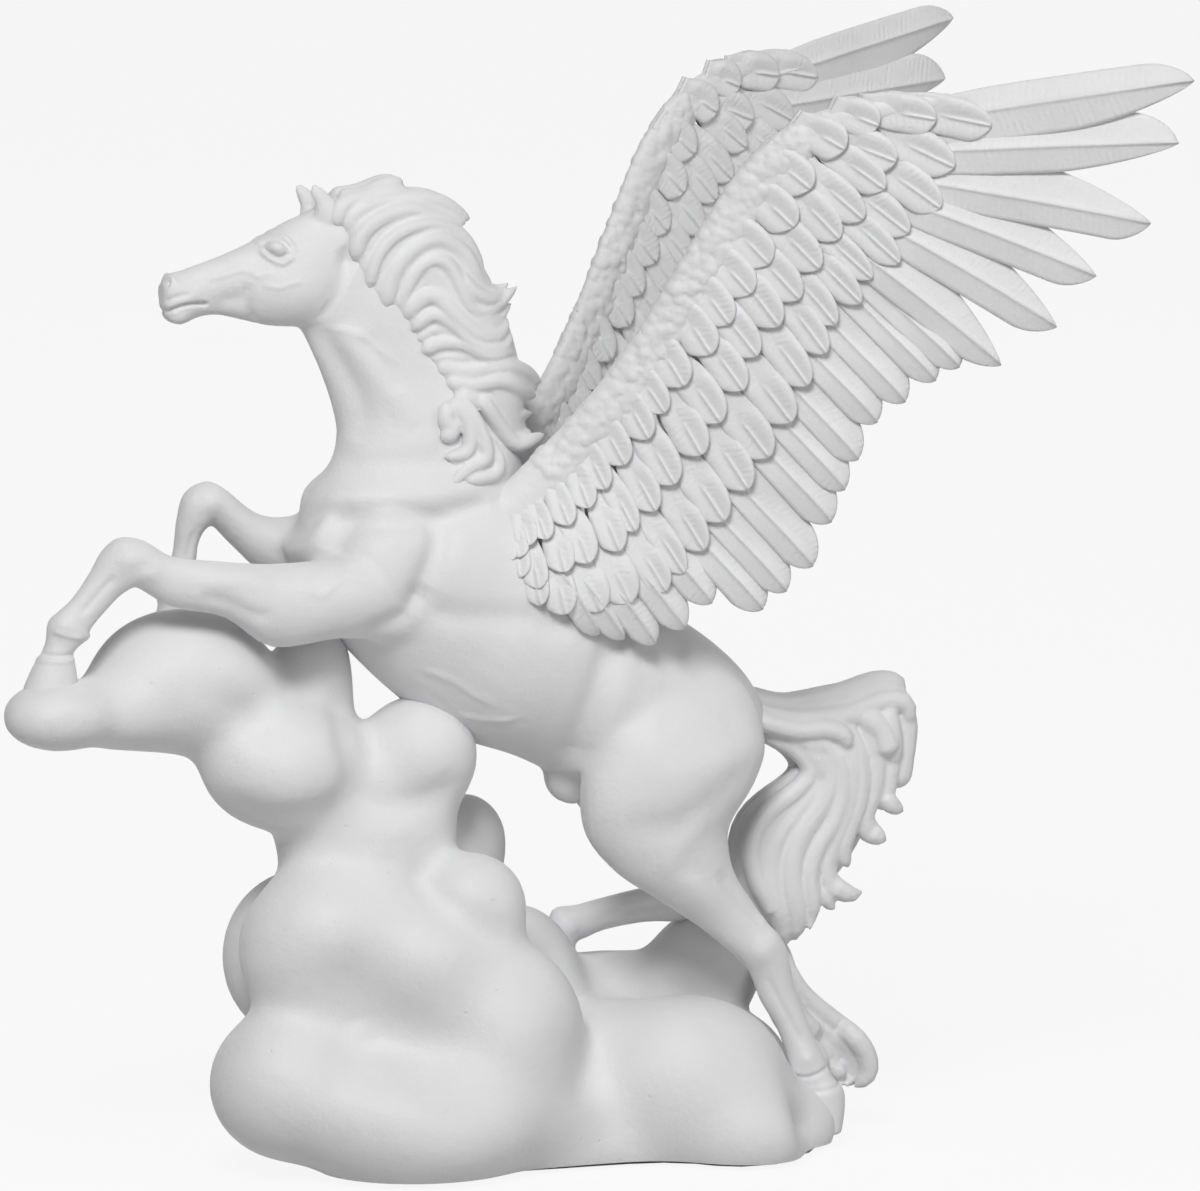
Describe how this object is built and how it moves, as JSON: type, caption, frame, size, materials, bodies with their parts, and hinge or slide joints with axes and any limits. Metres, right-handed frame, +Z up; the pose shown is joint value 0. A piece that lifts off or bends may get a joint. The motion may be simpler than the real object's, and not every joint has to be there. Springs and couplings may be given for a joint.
{
  "type": "winged horse statue",
  "caption": "Rearing winged horse ornament on a pillowed cloud base, cast in pale bonded marble, with layered feather wings, a loose mane and tail, and a felt underside.",
  "frame": {"origin": "middle of the underside of the felt, on the surface that the statue stands on", "axes": "+Z up, -X the way the horse faces, -Y its left side, which the picture shows"},
  "size_m": [0.2383, 0.1494, 0.2332],
  "materials": {
    "marble": "matt cast",
    "felt": "felt",
    "steel": "drawn"
  },
  "bodies": {
    "root": {"horse_body": "marble", "horse_head": "marble", "left_foreleg": "marble", "right_foreleg": "marble", "left_hind_leg": "marble", "right_hind_leg": "marble", "mane": "marble", "tail": "marble", "left_wing": "marble", "right_wing": "marble", "cloud_base": "marble", "base_felt": "felt", "neck_pin": "steel", "tail_pin": "steel", "support_pin": "steel", "left_foreleg_pin": "steel", "right_foreleg_pin": "steel", "left_hind_leg_pin": "steel", "right_hind_leg_pin": "steel", "left_hoof_pin": "steel", "right_hoof_pin": "steel", "left_wing_pin": "steel", "right_wing_pin": "steel"}
  },
  "joints": []
}
